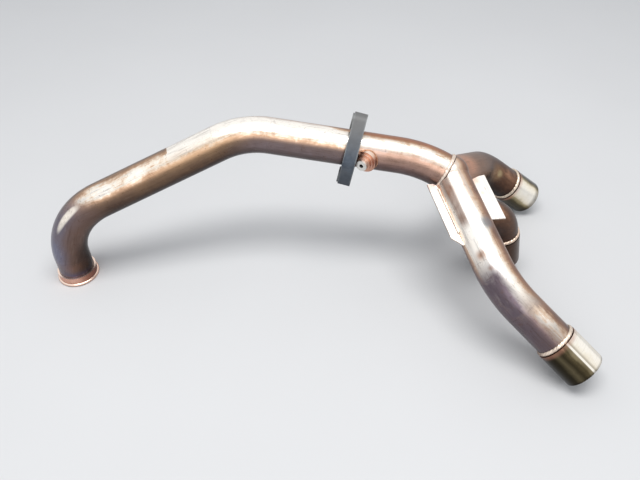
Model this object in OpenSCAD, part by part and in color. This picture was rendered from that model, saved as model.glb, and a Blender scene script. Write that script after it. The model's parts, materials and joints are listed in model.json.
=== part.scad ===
// Exhaust header for a two-cylinder engine, as it lies on a floor on three feet.
// The inlet collar stands flat on z = 0 with its gasket face centred on the origin.
// +X runs from the inlet to the outlets, +Y away from the near outlet, +Z up.
// Every tube is drawn from a bender's table: straight, turn, bend radius, bend angle.

/* [Tube stock] */
// Outside diameter of every bent tube
tube_od = 45; // [42:0.5:48]
// Wall thickness of every bent tube
tube_wall = 1.5; // [1:0.1:2.5]

/* [Head pipe] */
// Straight length above the gasket face
head_rise = 36.2; // [30:0.1:60]
// Direction of the first bend about the vertical
head_turn_1 = 13.8; // [5:0.1:25]
// Centre line radius of the first bend
head_radius_1 = 88; // [70:1:110]
// Angle of the first bend
head_bend_1 = 68.9; // [60:0.1:80]
// Length of the long rising straight
head_run_1 = 166.6; // [140:0.1:200]
// Direction of the second bend
head_turn_2 = -33.1; // [-45:0.1:-20]
// Centre line radius of the second bend
head_radius_2 = 112; // [90:1:140]
// Angle of the second bend
head_bend_2 = 33.6; // [25:0.1:45]
// Length of the long level straight
head_run_2 = 161.4; // [140:0.1:200]
// Direction of the third bend
head_turn_3 = -20.8; // [-40:0.1:0]
// Centre line radius of the third bend
head_radius_3 = 150; // [110:1:180]
// Angle of the third bend
head_bend_3 = 20.9; // [12:0.1:28]
// Straight length up to the junction weld
head_end = 9.3; // [5:0.1:20]

/* [Inlet collar] */
// Height of the collar welded on the inlet end
collar_height = 13; // [9:0.5:20]
// Wall of the collar at its top
collar_wall = 2.3; // [1.6:0.1:4.3]
// Reach of the rounded gasket rim outside the tube
collar_rim = 4.3; // [3.3:0.1:7]
// Height of the gasket rim
collar_rim_height = 4; // [3:0.5:6]
// Thickness of the lip that the tube end stands on
collar_lip = 3; // [2:0.5:5]

/* [Loose clamp flange] */
// Distance of the flange along the level straight
flange_at = 103.5; // [92:0.5:103.5]
// Play of the flange's hole on the tube, in diameter
flange_play = 7.5; // [5:0.5:8]
// Thickness of the flange body
flange_thick = 16; // [12:0.5:17]
// Width of metal around the hole in the middle of the flange
flange_rim = 6.75; // [5:0.25:8.75]
// Distance between the two stud holes
flange_stud_span = 77; // [72:1:84]
// Diameter of the stud holes
flange_stud_bore = 8.5; // [6.5:0.5:10.5]
// Outside diameter of the rounded ears
flange_ear_od = 24; // [20:0.5:26]
// Height of the pads that stand proud on the ears
flange_pad = 2; // [1:0.5:3]
// Diameter of the ear pads
flange_pad_od = 20; // [16:0.5:20]
// Turn of the ears about the tube
flange_turn = -154; // [-170:1:-130]
// Lean of the flange off square, about the line through its studs
flange_yaw = 6.5; // [3:0.5:7]
// Lean of the flange off square, along the line through its studs
flange_tilt = 3; // [0:0.5:4]

/* [Gas sampling boss] */
// Distance of the boss along the level straight
boss_at = 129; // [129:1:138]
// Turn of the boss about the tube
boss_turn = -56; // [-80:1:-40]
// Lean of the boss towards the inlet
boss_lean = 23; // [15:1:25]
// Diameter of the boss foot
boss_foot_od = 28; // [25:0.5:30]
// Diameter of the middle step
boss_step_od = 23.5; // [21:0.5:24.5]
// Diameter of the boss top
boss_top_od = 18.5; // [17:0.5:20]
// Height of each step above the tube
boss_step = 3; // [2:0.5:4]
// Outside diameter of the nipple in the boss
nipple_od = 13.6; // [11:0.2:15]
// Length that the nipple stands out of the boss
nipple_out = 4; // [3:0.5:8]
// Bore of the nipple
nipple_bore = 5; // [3:0.5:7]

/* [Junction hub] */
// Swell of the rounded hub over the tube, in radius
hub_swell = 1.75; // [1.25:0.25:4.5]
// Distance of the hub centre past the junction weld
hub_past = 4; // [3:0.5:6]

/* [Near leg] */
// Direction in which the near leg leaves the hub
near_aim_turn = -23.4; // [-30:0.1:-15]
// Angle between the head pipe and the near leg
near_aim = 46.3; // [40:0.1:55]
// Straight length of the near leg
near_run = 125.5; // [100:0.1:150]
// Direction of the near leg bend
near_turn = 162.9; // [150:0.1:175]
// Centre line radius of the near leg bend
near_radius = 106; // [80:1:130]
// Angle of the near leg bend
near_bend = 33.9; // [25:0.1:40]
// Straight length from the bend to the end of the near sleeve
near_end = 99.7; // [80:0.1:120]

/* [Far leg] */
// Direction in which the far leg leaves the hub
far_aim_turn = 124.1; // [118:0.1:130]
// Angle between the head pipe and the far leg
far_aim = 69.5; // [60:0.1:80]
// Straight length of the far leg
far_run = 110.8; // [95:0.1:125]
// Direction of the far leg bend
far_turn = -162.9; // [-175:0.1:-150]
// Centre line radius of the far leg bend
far_radius = 74; // [60:1:95]
// Angle of the far leg bend
far_bend = 39.9; // [30:0.1:50]
// Straight length from the bend to the end of the far sleeve
far_end = 78.4; // [65:0.1:90]

/* [Stub inlet] */
// Distance of the stub root along the near leg
stub_at = 50; // [46:1:56]
// Drop of the stub root below the near leg centre line
stub_drop = 12; // [11:0.5:14]
// Direction in which the stub leaves the near leg
stub_aim_turn = 68.3; // [64:0.1:72]
// Angle between the near leg and the stub
stub_aim = 83.1; // [78:0.1:88]
// Straight length of the stub up to its bend
stub_run = 43.3; // [40:0.1:50]
// Direction of the stub bend
stub_turn = -112.4; // [-118:0.1:-106]
// Centre line radius of the stub bend
stub_radius = 42; // [38:1:50]
// Angle of the stub bend
stub_bend = 55.8; // [45:0.1:60]
// Straight length from the stub bend to its sleeve
stub_tail = 7; // [6:0.5:12]

/* [Outlet sleeves] */
// Wall of the sleeves at their mouth
sleeve_wall = 1.8; // [1.4:0.1:3.2]
// Step between the socket over the tube end and the wider free bore
sleeve_step = 0.5; // [0.3:0.1:1]
// Length of the sleeves
sleeve_length = 45; // [35:1:50]
// Depth of the tube end inside its sleeve
sleeve_overlap = 12; // [8:1:20]
// Width of the raised weld beads
bead_width = 5; // [3.5:0.5:6]
// Height of the raised weld beads
bead_height = 2; // [1.5:0.1:2.2]

/* [Web sheet] */
// Thickness of the sheet beside the near leg
web_thick = 2; // [1.5:0.5:3]
// Width of the web plate beside the near leg
web_width = 21; // [16:0.5:23]
// Distance from the hub at which the web plate starts
web_start = 12; // [10:1:20]
// Distance from the hub at which the web plate stops
web_stop = 76; // [65:1:80]
// Width of the seam strip beside the near leg
strip_width = 11.5; // [8:0.5:13.5]
// Distance from the hub at which the seam strip stops
strip_stop = 84; // [75:1:90]
// Length of the slanted lower end of the seam strip
strip_taper = 13; // [8:1:18]

/* [Hidden] */
tube_r = tube_od / 2;
bore_r = tube_r - tube_wall;
hub_r = tube_r + hub_swell;
hub_bore_r = hub_r - tube_wall;
seat = 0.2;
slack = 0.1;
root_width = 2;
root_height = 0.25;
root = 5;
cut = 1;
grow = tube_r + seat;
sleeve_free_r = grow + sleeve_step;
sleeve_r = sleeve_free_r + sleeve_wall;
sleeve_land = 1;
web_reach = tube_r + web_width;
strip_reach = tube_r + strip_width;
flange_bore = tube_od + flange_play;
flange_body_r = flange_bore / 2 + flange_rim;
level_turn = -172.1;
web_inset = 4;
boss_depth = 9;
boss_pilot_r = nipple_od / 2 + seat / 2;
flange_room = flange_bore / 2 - tube_r - seat;
flange_reach = flange_thick / 2 + flange_bore / 2 * sin(flange_tilt);
flange_drop = sqrt(max(0, pow(flange_room, 2) - pow(flange_reach * tan(flange_yaw), 2)))
    - flange_reach * tan(flange_tilt);
facets = 96;
fine = 64;

// Colours in sRGB
steel_bronze = [0.56, 0.42, 0.34];
steel_copper = [0.72, 0.50, 0.42];
steel_pale = [0.78, 0.72, 0.66];
steel_brown = [0.36, 0.25, 0.20];
steel_silver = [0.66, 0.63, 0.55];
weld_pale = [0.86, 0.76, 0.70];
cast_dark = [0.33, 0.37, 0.42];
alloy_pale = [0.80, 0.78, 0.73];

// Frame changes: along the axis, about the axis, about the second axis, sideways
function go(len) = [[1, 0, 0, 0], [0, 1, 0, 0], [0, 0, 1, len], [0, 0, 0, 1]];
function spin(a) = [[cos(a), -sin(a), 0, 0], [sin(a), cos(a), 0, 0], [0, 0, 1, 0], [0, 0, 0, 1]];
function tip(a) = [[cos(a), 0, sin(a), 0], [0, 1, 0, 0], [-sin(a), 0, cos(a), 0], [0, 0, 0, 1]];
function side(x) = [[1, 0, 0, x], [0, 1, 0, 0], [0, 0, 1, 0], [0, 0, 0, 1]];
function past(turn, clr, ang) = spin(turn) * side(clr) * tip(ang) * side(-clr);

// Frames along the head pipe
at_run_1 = go(head_rise) * past(head_turn_1, head_radius_1, head_bend_1);
at_run_2 = at_run_1 * go(head_run_1) * past(head_turn_2, head_radius_2, head_bend_2);
at_run_3 = at_run_2 * go(head_run_2) * past(head_turn_3, head_radius_3, head_bend_3);
at_weld = at_run_3 * go(head_end);
at_hub = at_weld * go(hub_past);

// Frames along the near leg
at_near = at_hub * spin(near_aim_turn) * tip(near_aim);
at_near_end = at_near * go(near_run) * past(near_turn, near_radius, near_bend);
at_near_sleeve = at_near_end * go(near_end - sleeve_length);

// Frames along the far leg
at_far = at_hub * spin(far_aim_turn) * tip(far_aim);
at_far_end = at_far * go(far_run) * past(far_turn, far_radius, far_bend);
at_far_sleeve = at_far_end * go(far_end - sleeve_length);

// Frames along the stub
at_stub = at_near * go(stub_at) * spin(level_turn - 90) * side(stub_drop)
    * spin(stub_aim_turn) * tip(stub_aim);
at_stub_end = at_stub * go(stub_run) * past(stub_turn, stub_radius, stub_bend);
at_stub_sleeve = at_stub_end * go(stub_tail);

// Frame on the tube centre line with its axis out along the sampling boss
at_boss = at_run_2 * go(boss_at) * spin(boss_turn) * tip(90 + boss_lean);

// Frame of the flange: first axis along the ears, third axis through the bore
at_flange = at_run_2 * go(flange_at) * spin(flange_turn) * side(-flange_drop);

// A straight of solid round bar
module run(frame, len, rad) multmatrix(frame) cylinder(h = len, r = rad, $fn = facets);

// A straight of tube
module tube_run(frame, len) {
    difference() {
        run(frame, len, tube_r);
        run(frame * go(-cut), len + 2 * cut, bore_r);
    }
}

// The butt joint where a straight meets a bend: a fine line outside, the weld's root ring in the bore
module butt_joint(frame) {
    multmatrix(frame * go(-root_width / 2) * spin(90)) difference() {
        cylinder(h = root_width, r = bore_r + tube_wall / 2, $fn = facets);
        translate([0, 0, -cut]) cylinder(h = root_width + 2 * cut, r = bore_r - root_height, $fn = facets);
    }
}

// A bend of tube with a butt joint at both ends
module tube_bend(frame, turn, clr, ang) {
    multmatrix(frame * spin(turn) * side(clr)) mirror([1, 0, 0]) rotate([90, 0, 0])
        rotate_extrude(angle = ang, $fn = facets) translate([clr, 0]) difference() {
            circle(r = tube_r, $fn = facets);
            circle(r = bore_r, $fn = facets);
        }
    butt_joint(frame);
    butt_joint(frame * past(turn, clr, ang));
}

// Space taken by the hub and the first straight of the near leg
module hub_space() {
    multmatrix(at_hub) sphere(r = hub_r + seat, $fn = facets);
    run(at_near, near_run, grow);
}

// Cone on a branch frame that follows the hub's round surface within the tube wall
module hub_cone(frame) {
    inner_z = sqrt(pow(hub_r + seat, 2) - pow(bore_r, 2));
    outer_z = sqrt(pow(hub_r + seat, 2) - pow(tube_r, 2));
    fall = (inner_z - outer_z) / tube_wall;
    multmatrix(frame) cylinder(h = inner_z + fall * tube_wall, r1 = bore_r + inner_z / fall,
        r2 = bore_r - tube_wall, $fn = facets);
}

// Raised bead around a tube, centred on the frame
module bead() {
    section_r = (bead_width * bead_width / 4 + bead_height * bead_height) / (2 * bead_height);
    rotate_extrude($fn = facets) intersection() {
        translate([grow + bead_height - section_r, 0]) circle(r = section_r, $fn = facets);
        translate([grow, -bead_width]) square([bead_width, 2 * bead_width]);
    }
}

// Sleeve over a tube end: socket for the tube, a step to the wider free bore, rounded mouth
module sleeve() {
    lip_r = sleeve_wall / 2;
    socket = sleeve_overlap + sleeve_land;
    rotate_extrude($fn = facets) {
        translate([grow, 0]) square([sleeve_r - grow, socket]);
        translate([sleeve_free_r, 0]) square([sleeve_wall, sleeve_length - lip_r]);
        translate([sleeve_free_r + lip_r, sleeve_length - lip_r]) circle(r = lip_r, $fn = fine);
    }
}

module head_pipe() {
    foot = collar_lip + seat;
    color(steel_bronze) {
        tube_run(go(foot), head_rise - foot - slack);
        tube_bend(go(head_rise), head_turn_1, head_radius_1, head_bend_1);
        tube_run(at_run_1 * go(slack), head_run_1 - 2 * slack);
        tube_bend(at_run_1 * go(head_run_1), head_turn_2, head_radius_2, head_bend_2);
        difference() {
            tube_run(at_run_2 * go(slack), head_run_2 - 2 * slack);
            run(at_boss, tube_od, nipple_bore / 2);
        }
        tube_bend(at_run_2 * go(head_run_2), head_turn_3, head_radius_3, head_bend_3);
        tube_run(at_run_3 * go(slack), head_end - slack);
    }
}

module head_collar() {
    rim_r = grow + collar_rim;
    half = collar_rim_height / 2;
    color(steel_copper) difference() {
        union() {
            translate([0, 0, half])
                cylinder(h = collar_height - half, r1 = rim_r - half, r2 = grow + collar_wall, $fn = facets);
            rotate_extrude($fn = facets) translate([rim_r - half, half]) circle(r = half, $fn = fine);
            cylinder(h = collar_rim_height, r = rim_r - half, $fn = facets);
        }
        translate([0, 0, collar_lip]) cylinder(h = collar_height, r = grow, $fn = facets);
        translate([0, 0, -cut]) cylinder(h = collar_height, r = bore_r, $fn = facets);
    }
}

// Plan of the flange: round middle, two ears and their straight flanks
module flange_plan() {
    ear_at = flange_stud_span / 2;
    ear_r = flange_ear_od / 2;
    lean = acos((flange_body_r - ear_r) / ear_at);
    bx = flange_body_r * cos(lean);
    by = flange_body_r * sin(lean);
    ex = ear_at + ear_r * cos(lean);
    ey = ear_r * sin(lean);
    circle(r = flange_body_r, $fn = facets);
    for (side = [-1, 1]) translate([side * ear_at, 0]) circle(d = flange_ear_od, $fn = fine);
    polygon([[bx, by], [ex, ey], [ex, -ey], [bx, -by], [-bx, -by], [-ex, -ey], [-ex, ey], [-bx, by]]);
}

module clamp_flange() {
    color(cast_dark) multmatrix(at_flange) rotate([-flange_yaw, 0, 0]) rotate([0, -flange_tilt, 0]) difference() {
        union() {
            translate([0, 0, -flange_thick / 2]) linear_extrude(height = flange_thick) flange_plan();
            for (side = [-1, 1]) translate([side * flange_stud_span / 2, 0, -flange_thick / 2 - flange_pad])
                cylinder(h = flange_thick, d = flange_pad_od, $fn = fine);
        }
        translate([0, 0, -flange_thick]) cylinder(h = 2 * flange_thick, d = flange_bore, $fn = facets);
        for (side = [-1, 1]) translate([side * flange_stud_span / 2, 0, -flange_thick])
            cylinder(h = 2 * flange_thick, d = flange_stud_bore, $fn = fine);
    }
}

module sampling_boss() {
    color(steel_copper) difference() {
        multmatrix(at_boss) {
            cylinder(h = tube_r + boss_step, d = boss_foot_od, $fn = facets);
            cylinder(h = tube_r + 2 * boss_step, d = boss_step_od, $fn = facets);
            cylinder(h = tube_r + boss_depth, d = boss_top_od, $fn = facets);
        }
        run(at_run_2, head_run_2, grow);
        multmatrix(at_boss) cylinder(h = tube_od, r = boss_pilot_r, $fn = fine);
    }
}

module boss_nipple() {
    reach = tube_r + boss_depth + nipple_out;
    color(alloy_pale) difference() {
        multmatrix(at_boss) cylinder(h = reach, d = nipple_od, $fn = fine);
        run(at_run_2, head_run_2, grow);
        multmatrix(at_boss) cylinder(h = reach + cut, d = nipple_bore, $fn = fine);
    }
}

module junction_weld() color(weld_pale) multmatrix(at_weld * go(-bead_width / 2)) bead();

module near_leg() {
    color(steel_pale) {
        difference() {
            union() {
                multmatrix(at_hub) sphere(r = hub_r, $fn = facets);
                run(at_near, near_run - slack, tube_r);
            }
            multmatrix(at_hub) sphere(r = hub_bore_r, $fn = facets);
            run(at_near, near_run + cut, bore_r);
            run(at_far * go(root), 2 * hub_r, bore_r);
            run(at_stub * go(root), tube_od, bore_r);
            multmatrix(at_weld * go(-tube_od)) cylinder(h = tube_od + seat, r = hub_r + cut, $fn = facets);
        }
        tube_bend(at_near * go(near_run), near_turn, near_radius, near_bend);
        tube_run(at_near_end * go(slack), near_end - sleeve_length + sleeve_overlap - slack);
    }
}

module far_leg() {
    color(steel_brown) {
        difference() {
            tube_run(at_far * go(root), far_run - root - slack);
            hub_cone(at_far);
            run(at_near, near_run, grow);
            run(at_weld * go(-2 * hub_r), 2 * hub_r, grow + bead_height + seat);
        }
        tube_bend(at_far * go(far_run), far_turn, far_radius, far_bend);
        tube_run(at_far_end * go(slack), far_end - sleeve_length + sleeve_overlap - slack);
    }
}

module stub_pipe() {
    color(steel_brown) {
        difference() {
            tube_run(at_stub, stub_run - slack);
            run(at_near, near_run, grow);
            at_web() translate([0, 0, -tube_od]) cube([web_reach, web_stop, tube_od + web_thick + seat]);
        }
        tube_bend(at_stub * go(stub_run), stub_turn, stub_radius, stub_bend);
        tube_run(at_stub_end * go(slack), stub_tail + sleeve_overlap - slack);
    }
}

module near_weld() color(weld_pale) multmatrix(at_near_sleeve * go(-bead_width / 2 - seat)) bead();
module far_weld() color(weld_pale) multmatrix(at_far_sleeve * go(-bead_width / 2 - seat)) bead();
module stub_weld() color(weld_pale) multmatrix(at_stub_sleeve * go(-bead_width / 2 - seat)) bead();

module near_sleeve() color(steel_silver) multmatrix(at_near_sleeve) sleeve();
module far_sleeve() color(steel_silver) multmatrix(at_far_sleeve) sleeve();
module stub_sleeve() color(steel_brown) multmatrix(at_stub_sleeve) sleeve();

// Frame of the sheet: first axis level across the near leg, second axis along it
module at_web() {
    multmatrix(at_near * spin(level_turn)) rotate([90, 0, 0]) translate([0, 0, -web_thick / 2]) children();
}

module web_plate() {
    color(steel_pale) difference() {
        at_web() linear_extrude(height = web_thick)
            polygon([[0, web_start + 2 * web_inset], [web_reach - 2 * web_inset, web_start],
                [web_reach, web_start], [web_reach, web_stop], [0, web_stop - 2 * web_inset]]);
        hub_space();
    }
}

module seam_strip() {
    color(steel_pale) difference() {
        at_web() linear_extrude(height = web_thick)
            polygon([[0, web_start], [-strip_reach, web_start - web_inset], [-strip_reach, strip_stop],
                [-tube_r, strip_stop + strip_taper], [0, strip_stop + strip_taper]]);
        hub_space();
        run(at_weld * go(-head_end), head_end + bead_width, grow + bead_height + seat);
    }
}

head_pipe();
head_collar();
clamp_flange();
sampling_boss();
boss_nipple();
junction_weld();
near_leg();
far_leg();
stub_pipe();
near_weld();
far_weld();
stub_weld();
near_sleeve();
far_sleeve();
stub_sleeve();
web_plate();
seam_strip();
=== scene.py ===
import json
import math
import bpy
from mathutils import Matrix, Vector


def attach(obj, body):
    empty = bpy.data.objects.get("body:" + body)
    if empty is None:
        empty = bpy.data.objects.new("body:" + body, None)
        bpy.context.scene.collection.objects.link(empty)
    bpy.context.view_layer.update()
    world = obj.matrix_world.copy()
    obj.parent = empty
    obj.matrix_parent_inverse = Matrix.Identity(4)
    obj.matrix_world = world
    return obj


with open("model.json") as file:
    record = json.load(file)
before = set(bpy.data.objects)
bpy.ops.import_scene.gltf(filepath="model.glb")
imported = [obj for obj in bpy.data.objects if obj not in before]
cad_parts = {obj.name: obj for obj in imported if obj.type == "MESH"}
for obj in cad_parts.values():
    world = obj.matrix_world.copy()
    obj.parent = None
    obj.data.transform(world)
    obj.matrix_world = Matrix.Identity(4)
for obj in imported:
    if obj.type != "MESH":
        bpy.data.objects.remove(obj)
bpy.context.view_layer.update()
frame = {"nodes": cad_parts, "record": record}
NODES = frame["nodes"]
MOUNTS = {mount["name"]: mount for mount in frame["record"]["mounts"]}

# Outside radii of the tubes and of the sampling boss's foot, in metres
TUBE_R = 0.0225
BOSS_FOOT_R = 0.014

# Bender's table of the head pipe: straight, then turn, centre line radius and angle of its bend,
# in millimetres and degrees
HEAD_BENDS = ((36.2, 13.8, 88.0, 68.9), (166.6, -33.1, 112.0, 33.6), (161.4, -20.8, 150.0, 20.9))
HEAD_END = 9.3
HUB_PAST = 4.0
# Turn and angle at which each branch leaves
NEAR_AIM = (-23.4, 46.3)
FAR_AIM = (124.1, 69.5)
STUB_AIM = (68.3, 83.1)
# Place of the stub's root along and below the near leg, the turn that brings the sheets level,
# and the small turn from there to the side on which the sheets' beads lie
STUB_AT = 50.0
STUB_DROP = 12.0
LEVEL_TURN = -172.1
BEAD_TURN = -3.35
# Distance from the middle of a sleeve's free bore back to its weld, and from the sampling port
# back to the tube's centre line, in metres
SLEEVE_BACK = 0.02855
BOSS_BACK = 0.030

# Direction the painted highlight on the tubes faces, and the direction of the rear
HIGHLIGHT_FACING = Vector((0.0, -0.52, 0.854)).normalized()
REAR = Vector((0.0, 1.0, 0.0))
ALONG_X = Vector((1.0, 0.0, 0.0))
UP = Vector((0.0, 0.0, 1.0))
ORIGIN = Vector((0.0, 0.0, 0.0))

# Scales of the noises in the tubes' steel
GRAIN_SCALE = 520.0
GRAIN_STRETCH = 16.0
CLOUD_SCALE = 38.0
PATCH_SCALE = 145.0
SPECK_SCALE = 260.0
FINE_SCALE = 900.0

# Colours in sRGB that more than one material uses
CREAM = (0.97, 0.93, 0.87)
UMBER = (0.24, 0.175, 0.145)
RUSSET = (0.66, 0.43, 0.30)
SOOT = (0.10, 0.09, 0.085)
SALMON = (0.72, 0.52, 0.44)


# Frame changes: along the axis, about the axis, about the second axis, sideways
def go(length):
    return Matrix.Translation((0.0, 0.0, length / 1000.0))


def spin(angle):
    return Matrix.Rotation(math.radians(angle), 4, "Z")


def tip(angle):
    return Matrix.Rotation(math.radians(angle), 4, "Y")


def side(length):
    return Matrix.Translation((length / 1000.0, 0.0, 0.0))


def past(turn, radius, angle):
    """Frame change from the start of a bend to its end."""
    return spin(turn) @ side(radius) @ tip(angle) @ side(-radius)


def line(at):
    """Origin and third axis of a frame."""
    return at.translation.copy(), at.col[2].xyz.normalized()


def mount_line(name, back):
    """Axis of a mount, from a point that lies behind the mount's own."""
    axis = Vector(MOUNTS[name]["axis"])
    return Vector(MOUNTS[name]["pos_m"]) - axis * back, axis


at_run = [Matrix.Identity(4)]
for straight, turn, radius, angle in HEAD_BENDS:
    at_run.append(at_run[-1] @ go(straight) @ past(turn, radius, angle))
at_weld = at_run[3] @ go(HEAD_END)
at_hub = at_weld @ go(HUB_PAST)
at_near = at_hub @ spin(NEAR_AIM[0]) @ tip(NEAR_AIM[1])
at_far = at_hub @ spin(FAR_AIM[0]) @ tip(FAR_AIM[1])
at_stub = (at_near @ go(STUB_AT) @ spin(LEVEL_TURN - 90.0) @ side(STUB_DROP)
           @ spin(STUB_AIM[0]) @ tip(STUB_AIM[1]))
BEAD_SIDE = (at_near @ spin(LEVEL_TURN + BEAD_TURN)).col[0].xyz.normalized()

RUN_1 = line(at_run[1])
RUN_2 = line(at_run[2])
WELD = line(at_weld)
NEAR = line(at_near)
FAR = line(at_far)
STUB = line(at_stub)
NEAR_SLEEVE = mount_line("near_outlet", SLEEVE_BACK)
FAR_SLEEVE = mount_line("far_outlet", SLEEVE_BACK)
STUB_SLEEVE = mount_line("stub_inlet", SLEEVE_BACK)
BOSS = mount_line("sampling_port", 0.0)
BOSS_FOOT = mount_line("sampling_port", BOSS_BACK)


def lin(colour):
    """sRGB colour to linear."""
    return tuple(v / 12.92 if v <= 0.04045 else ((v + 0.055) / 1.055) ** 2.4 for v in colour)


def shade(colour, share):
    return tuple(v * share for v in colour)


def basis(axis):
    """Rotation whose third axis is the given one and whose first lies level."""
    z = axis.normalized()
    x = UP.cross(z)
    x = x.normalized() if x.length > 1e-6 else ALONG_X
    return Matrix((x, z.cross(x), z)).transposed()


class Graph:
    """A material's node tree with short calls for the nodes it needs."""

    def __init__(self, name):
        self.mat = bpy.data.materials.new(name)
        self.mat.use_nodes = True
        self.tree = self.mat.node_tree
        self.tree.nodes.clear()
        self.bsdf = self.node("ShaderNodeBsdfPrincipled")
        self.link(self.bsdf.outputs[0], self.node("ShaderNodeOutputMaterial").inputs["Surface"])
        self.coord = self.node("ShaderNodeTexCoord").outputs["Object"]
        self.normal = self.node("ShaderNodeNewGeometry").outputs["Normal"]

    def node(self, kind, **props):
        n = self.tree.nodes.new(kind)
        for key, value in props.items():
            setattr(n, key, value)
        return n

    def link(self, a, b):
        self.tree.links.new(a, b)

    def put(self, socket, value):
        """Links a socket to another, or sets it to a number, a vector or a colour."""
        if isinstance(value, bpy.types.NodeSocket):
            self.link(value, socket)
        elif isinstance(value, (tuple, list, Vector)):
            v = list(value)
            socket.default_value = v + [1.0] if len(v) == 3 and socket.type == "RGBA" else v
        else:
            socket.default_value = value

    def math(self, op, a, b=0.0, c=0.0, clamp=False):
        n = self.node("ShaderNodeMath", operation=op, use_clamp=clamp)
        for i, value in enumerate((a, b, c)):
            self.put(n.inputs[i], value)
        return n.outputs[0]

    def times(self, a, b):
        return self.math("MULTIPLY", a, b)

    def swing(self, noise, amount):
        """A noise's swing to both sides of its middle, times an amount."""
        return self.times(self.math("SUBTRACT", noise, 0.5), amount)

    def between(self, noise, ends):
        """Runs from the first end to the second as the noise runs from 0 to 1."""
        return self.math("MULTIPLY_ADD", noise, ends[1] - ends[0], ends[0])

    def half(self, value):
        """From the range -1 to 1 to the range 0 to 1."""
        return self.math("MULTIPLY_ADD", value, 0.5, 0.5, clamp=True)

    def dot(self, a, b):
        n = self.node("ShaderNodeVectorMath", operation="DOT_PRODUCT")
        self.put(n.inputs[0], a)
        self.put(n.inputs[1], b)
        return n.outputs["Value"]

    def ramp(self, value, lo, hi):
        """Smooth step from 0 at lo to 1 at hi."""
        n = self.node("ShaderNodeMapRange", interpolation_type="SMOOTHSTEP")
        self.put(n.inputs["Value"], value)
        n.inputs["From Min"].default_value = lo
        n.inputs["From Max"].default_value = hi
        return n.outputs[0]

    def colours(self, value, stops):
        n = self.node("ShaderNodeValToRGB")
        self.put(n.inputs[0], value)
        elements = n.color_ramp.elements
        while len(elements) < len(stops):
            elements.new(0.5)
        for element, (position, colour) in zip(elements, sorted(stops)):
            element.position = position
            element.color = (*lin(colour), 1.0)
        return n.outputs[0]

    def mix(self, share, a, b):
        """Mixes two colours."""
        n = self.node("ShaderNodeMix", data_type="RGBA")
        self.put(n.inputs[0], share)
        self.put(n.inputs[6], a)
        self.put(n.inputs[7], b)
        return n.outputs[2]

    def blend(self, share, a, b):
        """Mixes two numbers."""
        n = self.node("ShaderNodeMix", data_type="FLOAT")
        self.put(n.inputs[0], share)
        self.put(n.inputs[2], a)
        self.put(n.inputs[3], b)
        return n.outputs[0]

    def over(self, mask, amount, base, colour):
        """Lays an sRGB colour over the base, by a mask times an amount."""
        return self.mix(self.times(mask, amount), base, lin(colour))

    def tinted(self, colour, tints, cloud):
        """Lays soft tints over a colour, uneven with the clouds."""
        for tint, mask, amount in tints:
            uneven = self.math("MULTIPLY_ADD", cloud, 1.1, amount - 0.55)
            share = self.math("MULTIPLY", mask(self), uneven, clamp=True)
            colour = self.mix(share, colour, lin(tint))
        return colour

    def placed(self, origin, axis, scale=(1.0, 1.0, 1.0)):
        """Coordinates in a frame whose third axis runs along the given one."""
        n = self.node("ShaderNodeMapping", vector_type="TEXTURE")
        self.link(self.coord, n.inputs["Vector"])
        n.inputs["Location"].default_value = origin
        n.inputs["Rotation"].default_value = basis(axis).to_euler()
        n.inputs["Scale"].default_value = scale
        return n.outputs[0]

    def noise(self, vector, scale, detail=4.0, rough=0.55, dist=0.0):
        n = self.node("ShaderNodeTexNoise")
        self.put(n.inputs["Vector"], vector)
        n.inputs["Scale"].default_value = scale
        n.inputs["Detail"].default_value = detail
        n.inputs["Roughness"].default_value = rough
        n.inputs["Distortion"].default_value = dist
        return n.outputs[0]

    def grain(self, axis):
        """Brush lines that run along an axis."""
        stretched = self.placed(ORIGIN, axis, (1.0, 1.0, GRAIN_STRETCH))
        return self.noise(stretched, GRAIN_SCALE, 4.0, 0.6)

    def around(self, place):
        """Angle round an axis and distance along it."""
        n = self.node("ShaderNodeSeparateXYZ")
        self.link(self.placed(*place), n.inputs[0])
        return self.math("ARCTAN2", n.outputs[1], n.outputs[0]), n.outputs[2]

    def spot(self, centre, radius, inner):
        """1 inside a soft ball round a point of the object, 0 outside it."""
        n = self.node("ShaderNodeVectorMath", operation="DISTANCE")
        self.link(self.coord, n.inputs[0])
        n.inputs[1].default_value = centre
        return self.ramp(n.outputs["Value"], radius, radius * inner)

    def along(self, origin, axis):
        """Distance along an axis from a point."""
        n = self.node("ShaderNodeVectorMath", operation="SUBTRACT")
        self.link(self.coord, n.inputs[0])
        n.inputs[1].default_value = origin
        return self.dot(n.outputs[0], axis)

    def bump(self, height, strength, distance, under=None):
        n = self.node("ShaderNodeBump")
        n.inputs["Strength"].default_value = strength
        n.inputs["Distance"].default_value = distance
        self.put(n.inputs["Height"], height)
        if under is not None:
            self.link(under, n.inputs["Normal"])
        return n.outputs[0]

    def finished(self, colour, metallic, rough, normal):
        """Joins the parts of the look to the shader and gives the material."""
        self.link(colour, self.bsdf.inputs["Base Color"])
        self.bsdf.inputs["Metallic"].default_value = metallic
        self.link(rough, self.bsdf.inputs["Roughness"])
        self.link(normal, self.bsdf.inputs["Normal"])
        return self.mat


# Masks: each gives a function that adds its nodes to a material
def band(origin, axis, lo, hi, soft):
    """A stretch along an axis."""
    def mask(g):
        d = g.along(origin, axis)
        return g.times(g.ramp(d, lo - soft, lo + soft), g.ramp(d, hi + soft, hi - soft))
    return mask


def between_x(start, stop, soft):
    """What lies between two places along X."""
    return band(Vector((start, 0.0, 0.0)), ALONG_X, 0.0, stop - start, soft)


def mouth(place, lo, hi, soft=0.003):
    """A ring of a sleeve or collar, between two distances along its axis."""
    return band(place[0], place[1], lo, hi, soft)


def ball(centre, radius, inner=0.3):
    """A soft ball; inside the inner share of its radius it is whole."""
    return lambda g: g.spot(centre, radius, inner)


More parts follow.
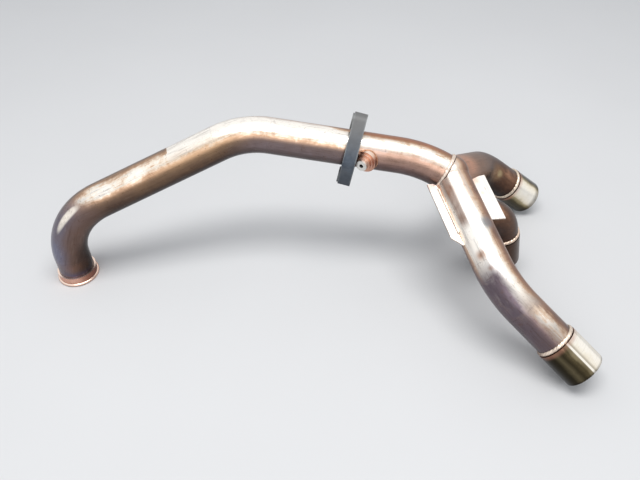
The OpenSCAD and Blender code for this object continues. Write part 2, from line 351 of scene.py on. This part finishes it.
def side_of(direction, lo, hi, where):
    """The faces that look in a direction, kept to a second mask."""
    return lambda g: g.times(g.ramp(g.dot(g.normal, direction), lo, hi), where(g))


def steel(name, stops, axis, streak=1.0, mottle=0.10, back=RUSSET, back_amount=0.0, wide=(), tints=(),
          rough=(0.20, 0.38), others=(), end=None, facing=None):
    """Heat-tinted polished steel. stops colour it from painted shade on its underside to a painted highlight;
    wide are masks in which the painted highlight reaches further round; tints are colours with masks and
    amounts;
    others are further axes of the brush lines with their masks; end is other stops and their mask;
    facing is the painted highlight's direction outside the end, where it isn't the common one."""
    g = Graph(name)
    grain = g.grain(axis)
    for other_axis, mask in others:
        grain = g.blend(mask(g), grain, g.grain(other_axis))
    cloud = g.noise(g.coord, CLOUD_SCALE, 6.0, 0.62, 0.4)
    patch = g.noise(g.coord, PATCH_SCALE, 5.0, 0.66, 0.6)
    fine = g.noise(g.coord, FINE_SCALE, 2.0, 0.5)
    speck = g.noise(g.coord, SPECK_SCALE, 5.0, 0.7)
    rear = g.dot(g.normal, REAR)

    # How near a face is to the painted highlight's direction, with a ragged edge
    toward_light = g.dot(g.normal, HIGHLIGHT_FACING)
    if facing is not None:
        toward_light = g.blend(end[1](g), g.dot(g.normal, facing.normalized()), toward_light)
    ragged = g.math("ADD", g.swing(cloud, mottle * 3.4), g.swing(grain, mottle * 2.4 * streak))
    ragged = g.math("ADD", ragged, g.swing(patch, mottle * 1.6))
    level = g.math("ADD", toward_light, ragged)
    for mask in wide:
        reach = g.times(g.ramp(rear, -0.72, -0.46), g.ramp(rear, 0.86, 0.50))
        level = g.math("ADD", level, g.times(g.times(mask(g), reach), 0.5))
    level = g.half(level)
    colour = g.colours(level, stops)
    if end is not None:
        colour = g.mix(end[1](g), colour, g.colours(level, end[0]))

    # Faces turned to the rear take the back tone as painted reflection, and a paler band on them is a painted
    # highlight
    warm = g.times(g.ramp(rear, 0.12, 0.55), back_amount)
    for mask in wide:
        warm = g.times(warm, g.math("SUBTRACT", 1.0, g.times(mask(g), 0.8)))
    toned = g.mix(g.times(g.ramp(cloud, 0.35, 0.7), 0.55), lin(back), lin(shade(back, 0.72)))
    colour = g.mix(warm, colour, toned)
    rear_highlight = g.math("ADD", g.dot(g.normal, Vector((0.0, 0.93, 0.36)).normalized()), g.times(ragged, 0.5))
    colour = g.over(g.ramp(rear_highlight, 0.90, 1.0), 0.85, colour, (0.86, 0.74, 0.64))
    colour = g.tinted(colour, tints, cloud)

    # Brush lines, mottling and specks of scale
    colour = g.over(g.ramp(grain, 0.50, 0.70), 0.34 * streak, colour, UMBER)
    colour = g.over(g.ramp(grain, 0.44, 0.30), 0.05 * streak, colour, CREAM)
    colour = g.over(g.ramp(patch, 0.54, 0.70), 0.22, colour, (0.45, 0.31, 0.22))
    colour = g.over(g.ramp(speck, 0.61, 0.70), 0.55, colour, (0.30, 0.20, 0.14))
    polish = g.math("ADD", g.times(cloud, 0.6), g.times(grain, 0.4))
    lines = g.bump(grain, 0.10 * streak, 0.0004)
    relief = g.bump(g.math("ADD", fine, g.times(cloud, 2.0)), 0.08, 0.0006, lines)
    return g.finished(colour, 0.92, g.between(polish, rough), relief)


def turned(name, stops, place, seam=None, rough=(0.12, 0.24), tints=(), lines=900.0, facing=HIGHLIGHT_FACING):
    """Turned metal: stops colour it from painted shade to a painted highlight toward facing; fine rings round
    its axis; an optional raised weld seam along it, whose near-white line is a painted highlight, with a dark
    painted reflection beside it.
    """
    g = Graph(name)
    rings = g.noise(g.placed(*place, (40.0, 40.0, 1.0)), lines, 2.0, 0.6)
    cloud = g.noise(g.coord, 60.0, 5.0, 0.6, 0.5)
    toward_light = g.math("ADD", g.dot(g.normal, facing.normalized()), g.swing(cloud, 0.22))
    colour = g.colours(g.half(toward_light), stops)
    height, depth = cloud, 0.05
    if seam is not None:
        away = g.math("ABSOLUTE", g.math("SUBTRACT", g.around(place)[0], seam))
        # A dark painted reflection beside the seam, and a near-white painted highlight on it
        colour = g.over(g.ramp(away, 0.22, 0.08), 0.45, colour, (0.33, 0.29, 0.22))
        colour = g.mix(g.ramp(away, 0.075, 0.03), colour, lin((0.99, 0.97, 0.93)))
        height, depth = g.ramp(away, 0.09, 0.02), 0.35
    colour = g.tinted(colour, tints, cloud)
    colour = g.over(g.ramp(rings, 0.5, 0.75), 0.14, colour, (0.25, 0.22, 0.18))
    relief = g.bump(height, depth, 0.0006, g.bump(rings, 0.12, 0.0004))
    return g.finished(colour, 0.95, g.between(cloud, rough), relief)


def weld_metal(name, place, colour, dark):
    """Weld bead: overlapping ripples round the axis, with heat tint between them."""
    g = Graph(name)
    angle, height = g.around(place)
    cloud = g.noise(g.coord, 120.0, 4.0, 0.6)
    bent = g.math("MULTIPLY_ADD", g.math("ABSOLUTE", height), 60.0, angle)
    wave = g.math("SINE", g.math("MULTIPLY_ADD", bent, WELD_RIPPLES, g.times(cloud, 3.0)))
    ripple = g.math("MULTIPLY_ADD", wave, 0.5, 0.5)
    base = g.mix(g.ramp(cloud, 0.38, 0.66), lin(colour), lin(shade(colour, 0.86)))
    base = g.over(g.ramp(ripple, 0.30, 0.0), 0.22, base, dark)
    # Faces turned from the highlight direction take the dark colour, as painted shade
    base = g.over(g.ramp(g.dot(g.normal, HIGHLIGHT_FACING), 0.55, -0.3), 0.85, base, dark)
    relief = g.bump(g.math("ADD", ripple, g.times(cloud, 2.5)), 0.40, 0.0007)
    return g.finished(base, 0.85, g.between(cloud, (0.26, 0.44)), relief)


def fillet(name, colour, dark):
    """Metal of the small fillet beads, with painted shade on faces turned from the highlight direction."""
    g = Graph(name)
    cloud = g.noise(g.coord, 220.0, 4.0, 0.6)
    base = g.mix(g.ramp(cloud, 0.36, 0.66), lin(colour), lin(dark))
    base = g.over(g.ramp(g.dot(g.normal, HIGHLIGHT_FACING), 0.2, -0.6), 0.7, base, shade(dark, 0.5))
    return g.finished(base, 0.85, g.between(cloud, (0.25, 0.45)), g.bump(cloud, 0.3, 0.0004))


def cast(name):
    """Dull blue-grey cast metal: lighter edges as a painted highlight, lighter above as painted light and
    darker below as painted shade.
    """
    g = Graph(name)
    cloud = g.noise(g.coord, 70.0, 6.0, 0.62, 0.3)
    blotch = g.noise(g.coord, 26.0, 3.0)
    pores = g.noise(g.coord, 700.0, 3.0, 0.65)
    height = g.dot(g.coord, UP)
    rounded = g.node("ShaderNodeBevel", samples=4)
    rounded.inputs["Radius"].default_value = 0.0028
    edge = g.math("SUBTRACT", 1.0, g.dot(rounded.outputs[0], g.normal))
    base = g.mix(g.ramp(cloud, 0.35, 0.66), lin((0.245, 0.28, 0.325)), lin((0.345, 0.38, 0.425)))
    base = g.over(g.ramp(blotch, 0.50, 0.70), 0.5, base, (0.36, 0.37, 0.385))
    base = g.over(g.ramp(pores, 0.56, 0.72), 0.35, base, (0.21, 0.225, 0.25))
    # Painted light on the top, painted shade below, a painted highlight on the edges and painted shade on
    # faces turned from the highlight direction
    base = g.over(g.ramp(height, 0.176, 0.214), 0.70, base, (0.47, 0.46, 0.445))
    base = g.over(g.ramp(height, 0.158, 0.130), 0.40, base, (0.20, 0.225, 0.27))
    base = g.over(g.ramp(edge, 0.006, 0.07), g.ramp(cloud, 0.30, 0.60), base, (0.56, 0.57, 0.57))
    base = g.over(g.ramp(g.dot(g.normal, HIGHLIGHT_FACING), 0.55, -0.45), 0.55, base, (0.12, 0.125, 0.14))
    relief = g.bump(cloud, 0.25, 0.0015, g.bump(pores, 0.22, 0.0005))
    return g.finished(base, 0.35, g.between(cloud, (0.46, 0.68)), relief)


def paint(node, mat):
    """Puts a material in every slot of a node."""
    materials = NODES[node].data.materials
    if not materials:
        materials.append(mat)
    for i in range(len(materials)):
        materials[i] = mat


# Head pipe: colours from painted shade on the underside to the painted highlight on the crest
HEAD_STOPS = [(0.0, (0.12, 0.095, 0.085)), (0.50, (0.22, 0.17, 0.15)), (0.70, (0.33, 0.262, 0.228)),
              (0.82, (0.445, 0.357, 0.302)), (0.895, (0.575, 0.465, 0.38)), (0.935, (0.69, 0.56, 0.46)),
              (0.962, (0.86, 0.75, 0.655)), (0.982, CREAM), (1.0, (0.99, 0.97, 0.94))]
HEAD_TINTS = [
    # First bend: mauve outside, grey brown in front, a painted highlight crescent, blue low on the outside
    ((0.47, 0.445, 0.49),
     side_of((-0.70, -0.71, 0.05), 0.35, 0.85, ball((-0.008, -0.012, 0.080), 0.085, 0.5)), 0.95),
    ((0.44, 0.355, 0.325),
     side_of((0.55, -0.80, 0.20), 0.55, 0.90, ball((0.010, -0.010, 0.085), 0.075, 0.5)), 0.70),
    ((0.99, 0.955, 0.91),
     side_of(Vector((-0.36, -0.76, 0.54)).normalized(), 0.968, 0.995,
             ball((0.015, -0.011, 0.106), 0.033, 0.5)), 1.0),
    ((0.46, 0.475, 0.57), ball((-0.02, -0.014, 0.056), 0.034), 0.60),
    # Above the collar: a blue ring, a copper ring, and painted shade on the inside of the bend
    ((0.27, 0.29, 0.46), band(ORIGIN, UP, 0.0125, 0.0205, 0.005), 0.35),
    ((0.55, 0.38, 0.31), band(ORIGIN, UP, 0.024, 0.036, 0.008), 0.25),
    ((0.16, 0.11, 0.095),
     side_of((1.0, 0.0, -0.1), 0.35, 0.9, ball((0.015, 0.0, 0.035), 0.045, 0.4)), 0.75),
    # Level straight: mauve grey in front, painted shade below
    ((0.50, 0.445, 0.455), side_of((0.0, -0.95, -0.31), 0.62, 0.90, between_x(0.235, 0.375, 0.03)), 0.75),
    ((0.24, 0.19, 0.18), side_of((0.0, -0.75, -0.66), 0.80, 0.98, between_x(0.20, 0.47, 0.03)), 0.60),
    # Rising straight: straw, and below it a darker straw as painted shade
    ((0.66, 0.545, 0.42), side_of((0.0, -0.82, 0.57), 0.80, 0.99, between_x(0.14, 0.23, 0.03)), 0.45),
    ((0.52, 0.415, 0.315), side_of((0.0, -0.98, 0.10), 0.80, 0.97, between_x(0.10, 0.23, 0.03)), 0.35),
    # Last bend: pale rose in front, grey brown below it as painted shade, copper above
    ((0.74, 0.60, 0.55), side_of((0.0, -0.96, 0.28), 0.80, 0.96, between_x(0.375, 0.495, 0.02)), 0.60),
    ((0.43, 0.35, 0.345), side_of((0.0, -0.90, -0.44), 0.80, 0.97, between_x(0.370, 0.490, 0.02)), 0.60),
    ((0.62, 0.40, 0.285), side_of((0.0, 0.55, 0.83), 0.60, 0.92, between_x(0.375, 0.515, 0.03)), 0.85),
    # Copper behind the crest of the level straight, and beside the junction weld
    ((0.66, 0.45, 0.33), side_of((0.0, 0.70, 0.70), 0.72, 0.96, between_x(0.25, 0.37, 0.03)), 0.60),
    ((0.72, 0.45, 0.31), ball((0.470, 0.050, 0.170), 0.026), 0.30),
]
# The wide masks spread the painted highlight over the top of the rising straight past its slanted start, and
# of the level straight
paint("head_pipe", steel(
    "head_pipe_steel", HEAD_STOPS, RUN_1[1], back=(0.36, 0.245, 0.185), back_amount=0.95,
    others=[(Vector((0.35, 0.1, 1.0)), between_x(-0.2, 0.035, 0.02)),
            (RUN_2[1], between_x(0.235, 0.635, 0.02))],
    wide=[band(Vector((0.137, 0.033, 0.152)), Vector((0.906, 0.30, -0.30)), 0.0, 0.135, 0.0012),
          between_x(0.26, 0.345, 0.035)],
    tints=HEAD_TINTS))

# Near leg: from painted shade to a wide white painted highlight as far as the bend, and to darker colours
# with a narrower painted highlight beyond it
LEG_STOPS = [(0.0, (0.12, 0.09, 0.08)), (0.50, (0.26, 0.20, 0.185)), (0.66, (0.40, 0.315, 0.29)),
             (0.76, (0.60, 0.475, 0.41)), (0.83, (0.83, 0.71, 0.61)), (0.89, (0.98, 0.945, 0.90)),
             (1.0, (1.0, 0.985, 0.96))]
LEG_END_STOPS = [(0.0, (0.11, 0.085, 0.08)), (0.50, (0.23, 0.185, 0.18)), (0.74, (0.345, 0.285, 0.28)),
                 (0.86, (0.43, 0.35, 0.33)), (0.93, (0.60, 0.48, 0.41)), (0.968, (0.88, 0.77, 0.67)),
                 (1.0, (0.99, 0.96, 0.92))]
LEG_TINTS = [
    # Copper on the side of the stub, mauve grey on the outside of the bend
    ((0.74, 0.55, 0.43), side_of((0.94, 0.23, 0.24), 0.45, 0.95, ball((0.53, -0.05, 0.12), 0.16, 0.6)), 0.55),
    ((0.40, 0.355, 0.385),
     side_of((-0.70, -0.60, 0.25), 0.40, 0.84, ball((0.570, -0.14, 0.065), 0.100, 0.60)), 0.95),
    # Straw on the hub, a brown streak down the crest, grey brown before the sleeve
    ((0.70, 0.56, 0.47),
     side_of((-0.10, -0.40, 0.91), 0.86, 0.98, ball((0.500, 0.000, 0.158), 0.050, 0.35)), 0.50),
    ((0.50, 0.36, 0.29),
     side_of((-0.66, -0.47, 0.59), 0.962, 0.995, ball((0.4915, -0.019, 0.1455), 0.044, 0.6)), 0.80),
    ((0.40, 0.33, 0.31), ball((0.592, -0.158, 0.060), 0.030, 0.2), 0.45),
    # Small rust spots
    ((0.55, 0.33, 0.19), ball((0.4995, -0.012, 0.154), 0.006, 0.1), 0.45),
    ((0.56, 0.35, 0.21), ball((0.5069, -0.0388, 0.1425), 0.008, 0.1), 0.50),
    ((0.60, 0.39, 0.24), ball((0.5155, -0.086, 0.1185), 0.010, 0.1), 0.70),
    ((0.52, 0.32, 0.20), ball((0.5245, -0.101, 0.1120), 0.005, 0.1), 0.65),
    # A grey spot with its dark neighbour, and brown beside the weld
    ((0.50, 0.52, 0.55), ball((0.5255, -0.050, 0.137), 0.013, 0.2), 0.75),
    ((0.34, 0.27, 0.26), ball((0.534, -0.060, 0.128), 0.012, 0.2), 0.45),
    ((0.60, 0.42, 0.32), side_of((-0.9, -0.2, 0.2), 0.5, 0.9, ball((0.495, 0.010, 0.150), 0.04, 0.4)), 0.5),
]
paint("near_leg", steel(
    "near_leg_steel", LEG_STOPS, NEAR[1], mottle=0.11, back=(0.62, 0.46, 0.37), back_amount=0.35,
    facing=Vector((-0.46, -0.46, 0.76)),
    others=[(NEAR_SLEEVE[1], band(Vector((0.535, -0.105, 0.09)), NEAR_SLEEVE[1], 0.0, 0.2, 0.015))],
    end=(LEG_END_STOPS, band(Vector((0.560, -0.123, 0.076)), NEAR_SLEEVE[1], 0.0, 0.2, 0.022)),
    tints=LEG_TINTS))

# Far leg and stub: dark brown, from painted shade to a painted highlight
FAR_STOPS = [(0.0, (0.09, 0.07, 0.06)), (0.50, (0.155, 0.115, 0.10)), (0.74, (0.25, 0.175, 0.145)),
             (0.88, (0.40, 0.29, 0.23)), (0.94, (0.58, 0.43, 0.34)), (1.0, (0.84, 0.69, 0.57))]
paint("far_leg", steel(
    "far_leg_steel", FAR_STOPS, FAR[1], mottle=0.13, back=(0.33, 0.215, 0.155), back_amount=0.6,
    rough=(0.26, 0.42),
    others=[(FAR_SLEEVE[1], band(Vector((0.560, 0.120, 0.085)), FAR_SLEEVE[1], 0.0, 0.2, 0.015))],
    tints=[((0.56, 0.405, 0.30), ball((0.5480, 0.075, 0.128), 0.060, 0.1), 0.60),
           ((0.83, 0.60, 0.47), ball((0.5190, 0.040, 0.155), 0.052, 0.05), 0.85),
           ((0.66, 0.52, 0.38), ball((0.5850, 0.106, 0.090), 0.022, 0.1), 0.60),
           ((0.90, 0.83, 0.64), ball((0.5900, 0.110, 0.086), 0.010, 0.1), 0.70)]))
paint("stub_pipe", steel(
    "stub_pipe_steel", FAR_STOPS, STUB[1], mottle=0.13, back=(0.34, 0.24, 0.18), back_amount=0.4,
    rough=(0.28, 0.45),
    # A light spot on the stub is a painted highlight, with a grey brown patch below it
    tints=[((0.66, 0.55, 0.46), ball((0.555, -0.004, 0.105), 0.013, 0.2), 0.45),
           ((0.48, 0.40, 0.36), ball((0.565, 0.002, 0.090), 0.016, 0.2), 0.35)]))

# Sheets beside the near leg: pale, from painted shade to a painted highlight, with small copper, straw and
# rose tints
PLATE_STOPS = [(0.0, (0.36, 0.28, 0.25)), (0.5, (0.62, 0.52, 0.46)), (0.72, (0.93, 0.88, 0.83)),
               (1.0, (0.99, 0.965, 0.94))]
paint("web_plate", steel(
    "web_steel", PLATE_STOPS, NEAR[1], streak=0.8, mottle=0.05, rough=(0.26, 0.42),
    tints=[((0.83, 0.56, 0.36), ball((0.5165, 0.028, 0.140), 0.020, 0.3), 0.50),
           ((0.74, 0.66, 0.40), ball((0.532, 0.008, 0.132), 0.006, 0.2), 0.50)]))
paint("seam_strip", steel(
    "strip_steel", PLATE_STOPS, NEAR[1], streak=0.8, mottle=0.05, rough=(0.26, 0.42),
    tints=[((0.80, 0.62, 0.55), ball((0.468, 0.012, 0.146), 0.018, 0.2), 0.45)]))


def angle_towards(place, direction):
    """Angle round an axis at which a direction lies."""
    d = basis(place[1]).transposed() @ direction
    return math.atan2(d.y, d.x)


# Sleeves: olive to gold in bands of painted reflection and painted highlight, with soot at the mouth and a
# salmon tint at the weld
SLEEVE_STOPS = [(0.0, (0.10, 0.085, 0.06)), (0.52, (0.165, 0.145, 0.10)), (0.64, (0.36, 0.325, 0.245)),
                (0.74, (0.20, 0.175, 0.12)), (0.835, (0.30, 0.265, 0.185)), (0.895, (0.62, 0.57, 0.45)),
                (0.94, (0.93, 0.89, 0.81)), (1.0, (0.99, 0.97, 0.93))]
# The stub's sleeve takes the same stops darkened, as painted shade
STUB_STOPS = [(position, shade(colour, 0.72)) for position, colour in SLEEVE_STOPS]
paint("near_sleeve", turned(
    "near_sleeve_steel", SLEEVE_STOPS, NEAR_SLEEVE, facing=Vector((0.46, -0.25, 0.85)),
    seam=angle_towards(NEAR_SLEEVE, Vector((0.09, -0.67, 0.74))),
    tints=[(SOOT, mouth(NEAR_SLEEVE, 0.0425, 0.060, 0.0015), 0.5),
           (SALMON, mouth(NEAR_SLEEVE, -0.004, 0.004), 0.45)]))
paint("far_sleeve", turned(
    "far_sleeve_steel", SLEEVE_STOPS, FAR_SLEEVE, facing=Vector((0.33, -0.80, 0.44)),
    tints=[(SOOT, mouth(FAR_SLEEVE, 0.038, 0.060, 0.004), 0.6),
           (SALMON, mouth(FAR_SLEEVE, -0.004, 0.004), 0.45)]))
paint("stub_sleeve", turned(
    "stub_sleeve_steel", STUB_STOPS, STUB_SLEEVE, rough=(0.22, 0.38),
    tints=[((0.30, 0.21, 0.17), mouth(STUB_SLEEVE, -0.01, 0.060), 0.8)]))

# Weld beads: their colour where lit, and the dark colour of their heat tint and painted shade
WELD_RIPPLES = 30.0
paint("junction_weld", weld_metal("junction_weld_metal", WELD, (0.99, 0.92, 0.86), (0.66, 0.50, 0.43)))
paint("near_weld", weld_metal("near_weld_metal", NEAR_SLEEVE, (0.97, 0.90, 0.83), (0.46, 0.33, 0.26)))
paint("far_weld", weld_metal("far_weld_metal", FAR_SLEEVE, (0.95, 0.88, 0.80), (0.36, 0.25, 0.20)))
paint("stub_weld", weld_metal("stub_weld_metal", STUB_SLEEVE, (0.93, 0.83, 0.75), (0.34, 0.24, 0.19)))

# Collar: copper tinted from painted shade to a painted highlight, with a bright rim and a dark line above it
COLLAR = (ORIGIN, UP)
COLLAR_STOPS = [(0.0, (0.22, 0.13, 0.11)), (0.35, (0.42, 0.26, 0.21)), (0.55, (0.62, 0.42, 0.35)),
                (0.72, (0.80, 0.60, 0.52)), (0.88, (0.95, 0.83, 0.76)), (1.0, (0.99, 0.93, 0.88))]
paint("head_collar", turned(
    "collar_steel", COLLAR_STOPS, COLLAR, rough=(0.20, 0.34), lines=700.0,
    tints=[((0.45, 0.28, 0.23), lambda g: g.ramp(g.dot(g.normal, (0.90, -0.30, 0.10)), 0.55, 0.95), 0.60),
           ((0.93, 0.80, 0.73), mouth(COLLAR, 0.0, 0.0035, 0.001), 0.6),
           ((0.33, 0.20, 0.17), mouth(COLLAR, 0.0042, 0.0052, 0.0006), 0.5)]))

# Sampling boss, its nipple and the flange
BOSS_STOPS = [(0.0, (0.28, 0.17, 0.14)), (0.40, (0.46, 0.30, 0.25)), (0.58, (0.62, 0.44, 0.37)),
              (0.74, (0.78, 0.60, 0.52)), (0.88, (0.92, 0.80, 0.72)), (1.0, (0.99, 0.94, 0.89))]
NIPPLE_STOPS = [(0.0, (0.34, 0.33, 0.32)), (0.40, (0.58, 0.57, 0.55)), (0.60, (0.80, 0.79, 0.77)),
                (1.0, (0.96, 0.955, 0.94))]
paint("sampling_boss", turned("boss_steel", BOSS_STOPS, BOSS, rough=(0.22, 0.36), lines=1500.0))
paint("boss_nipple", turned("nipple_metal", NIPPLE_STOPS, BOSS, rough=(0.24, 0.38), lines=1800.0))
paint("clamp_flange", cast("flange_cast"))

# Fillet beads: distance between their rings, pitch and depth of their ripples, rings in a tapered end
BEAD_STEP = 0.0005
BEAD_PITCH = 0.0021
BEAD_RIPPLE = 0.14
BEAD_TAPER = 5.0
BEAD_SIDES = 10
# Sheets' beads: distance out from the tube and raised above that side
SHEET_BEAD_OUT = 0.0006
SHEET_BEAD_UP = 0.0012
# Angle between the points of a saddle curve, its reach along the branch and its halvings
SADDLE_STEP = 3
SADDLE_REACH = 0.12
SADDLE_HALVINGS = 60


def dense_points(points, closed):
    """Points about a ring's distance apart along a route."""
    route = list(points) + ([points[0]] if closed else [])
    dense = []
    for a, b in zip(route[:-1], route[1:]):
        count = max(1, int((b - a).length / BEAD_STEP))
        dense += [a.lerp(b, k / count) for k in range(count)]
    return dense if closed else dense + [route[-1]]


def bead_along(name, points, radius, mat, closed=False):
    """A rippled weld bead swept through points; its radius swells once per pitch."""
    dense = dense_points(points, closed)
    count = len(dense)
    verts, faces = [], []
    walked = 0.0
    across = None
    for i, p in enumerate(dense):
        after = dense[(i + 1) % count] if closed or i + 1 < count else p
        before = dense[i - 1] if closed or i > 0 else p
        tangent = (after - before).normalized()
        if across is None:
            across = tangent.orthogonal().normalized()
        across = (across - tangent * across.dot(tangent)).normalized()
        up = tangent.cross(across)
        swell = 1.0 - BEAD_RIPPLE + BEAD_RIPPLE * abs(math.sin(math.pi * walked / BEAD_PITCH))
        ease = 1.0 if closed else min(1.0, 0.25 + min(i, count - 1 - i) / BEAD_TAPER)
        for k in range(BEAD_SIDES):
            a = 2.0 * math.pi * k / BEAD_SIDES
            verts.append(p + (across * math.cos(a) + up * math.sin(a)) * radius * swell * ease)
        walked += (after - p).length
    for i in range(count if closed else count - 1):
        here, there = i * BEAD_SIDES, (i + 1) % count * BEAD_SIDES
        for k in range(BEAD_SIDES):
            m = (k + 1) % BEAD_SIDES
            faces.append((here + k, here + m, there + m, there + k))
    if not closed:
        last = (count - 1) * BEAD_SIDES
        faces.append(tuple(range(BEAD_SIDES - 1, -1, -1)))
        faces.append(tuple(range(last, last + BEAD_SIDES)))
    mesh = bpy.data.meshes.new(name)
    mesh.from_pydata([tuple(v) for v in verts], [], faces)
    mesh.update()
    for poly in mesh.polygons:
        poly.use_smooth = True
    mesh.materials.append(mat)
    piece = bpy.data.objects.new(name, mesh)
    bpy.context.scene.collection.objects.link(piece)
    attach(piece, "root")


def saddle(branch, branch_r, tube, tube_r):
    """Points where a round branch leaves the outside of a round tube."""
    turn_to = basis(branch[1])
    points = []
    for degrees in range(0, 360, SADDLE_STEP):
        a = math.radians(degrees)
        start = branch[0] + turn_to @ Vector((math.cos(a), math.sin(a), 0.0)) * branch_r
        lo, hi = 0.0, SADDLE_REACH
        for _ in range(SADDLE_HALVINGS):
            middle = (lo + hi) / 2.0
            q = start + branch[1] * middle - tube[0]
            if (q - tube[1] * q.dot(tube[1])).length < tube_r:
                lo = middle
            else:
                hi = middle
        points.append(start + branch[1] * hi)
    return points


def sheet_bead(name, way, stations, radius):
    """The bead where a sheet meets the near leg, on the given side of the leg."""
    out = BEAD_SIDE * way * (TUBE_R + SHEET_BEAD_OUT) + UP * SHEET_BEAD_UP
    bead_along(name, [NEAR[0] + NEAR[1] * s + out for s in stations], radius, PALE_BEAD)


PALE_BEAD = fillet("pale_bead", (0.97, 0.92, 0.87), (0.86, 0.76, 0.69))
BROWN_BEAD = fillet("brown_bead", (0.62, 0.45, 0.36), (0.36, 0.25, 0.20))
COPPER_BEAD = fillet("copper_bead", (0.80, 0.62, 0.50), (0.58, 0.41, 0.31))
sheet_bead("strip_bead", -1.0, (0.016, 0.040, 0.064, 0.082), 0.0009)
sheet_bead("web_bead", 1.0, (0.018, 0.040, 0.066), 0.0011)
bead_along("stub_bead", saddle(STUB, TUBE_R + 0.0002, NEAR, TUBE_R + 0.0008), 0.0012, BROWN_BEAD, closed=True)
bead_along("boss_bead", saddle(BOSS_FOOT, BOSS_FOOT_R + 0.0002, RUN_2, TUBE_R + 0.0004), 0.0007,
           COPPER_BEAD, closed=True)

# Floor, light and camera
FLOOR_REACH = 40.0
FLOOR_HEIGHT = -0.0002
CAMERA_PLACE = (0.3314, -0.5805, 0.6029)
CAMERA_DOWN = 43.0
CAMERA_LENS = 34.14
LAMP_TARGET = Vector((0.33, 0.0, 0.1))


def floor():
    mesh = bpy.data.meshes.new("floor")
    s, z = FLOOR_REACH, FLOOR_HEIGHT
    mesh.from_pydata([(-s, -s, z), (s, -s, z), (s, s, z), (-s, s, z)], [], [(0, 1, 2, 3)])
    o = bpy.data.objects.new("floor", mesh)
    bpy.context.scene.collection.objects.link(o)
    g = Graph("floor_pale")
    tone = g.mix(g.noise(g.coord, 3.0, 2.0), lin((0.86, 0.86, 0.86)), lin((0.88, 0.88, 0.88)))
    g.link(tone, g.bsdf.inputs["Base Color"])
    g.bsdf.inputs["Roughness"].default_value = 0.9
    g.bsdf.inputs["Specular IOR Level"].default_value = 0.1
    mesh.materials.append(g.mat)


def studio_world():
    """A soft pale sky that the camera and reflections see as white."""
    world = bpy.data.worlds.new("studio")
    bpy.context.scene.world = world
    world.use_nodes = True
    nodes, links = world.node_tree.nodes, world.node_tree.links
    nodes.clear()
    out = nodes.new("ShaderNodeOutputWorld")
    sky = nodes.new("ShaderNodeBackground")
    white = nodes.new("ShaderNodeBackground")
    mix = nodes.new("ShaderNodeMixShader")
    path = nodes.new("ShaderNodeLightPath")
    seen = nodes.new("ShaderNodeMath")
    sky.inputs["Color"].default_value = (0.92, 0.95, 1.0, 1.0)
    sky.inputs["Strength"].default_value = 0.55
    white.inputs["Color"].default_value = (1.0, 1.0, 1.0, 1.0)
    white.inputs["Strength"].default_value = 1.0
    seen.operation = "MAXIMUM"
    links.new(path.outputs["Is Camera Ray"], seen.inputs[0])
    links.new(path.outputs["Is Glossy Ray"], seen.inputs[1])
    links.new(seen.outputs[0], mix.inputs[0])
    links.new(sky.outputs[0], mix.inputs[1])
    links.new(white.outputs[0], mix.inputs[2])
    links.new(mix.outputs[0], out.inputs["Surface"])


def area(name, place, size, power):
    """A rectangular lamp turned to the object."""
    lamp = bpy.data.lights.new(name, "AREA")
    lamp.shape = "RECTANGLE"
    lamp.size, lamp.size_y = size
    lamp.energy = power
    o = bpy.data.objects.new(name, lamp)
    bpy.context.scene.collection.objects.link(o)
    o.location = place
    o.rotation_euler = (LAMP_TARGET - Vector(place)).to_track_quat("-Z", "Y").to_euler()


def camera():
    """The camera, as the photograph saw the object."""
    data = bpy.data.cameras.new("camera")
    data.sensor_width = 36.0
    data.lens = CAMERA_LENS
    data.clip_start = 0.02
    o = bpy.data.objects.new("camera", data)
    bpy.context.scene.collection.objects.link(o)
    o.location = CAMERA_PLACE
    o.rotation_euler = (math.radians(90.0 - CAMERA_DOWN), 0.0, 0.0)
    bpy.context.scene.camera = o


floor()
studio_world()
area("overhead", (0.35, -0.25, 1.9), (1.6, 0.7), 23.0)
area("front_fill", (0.1, -2.2, 1.3), (1.6, 1.2), 9.0)
camera()
bpy.context.scene.view_settings.view_transform = "Standard"

bpy.context.view_layer.update()
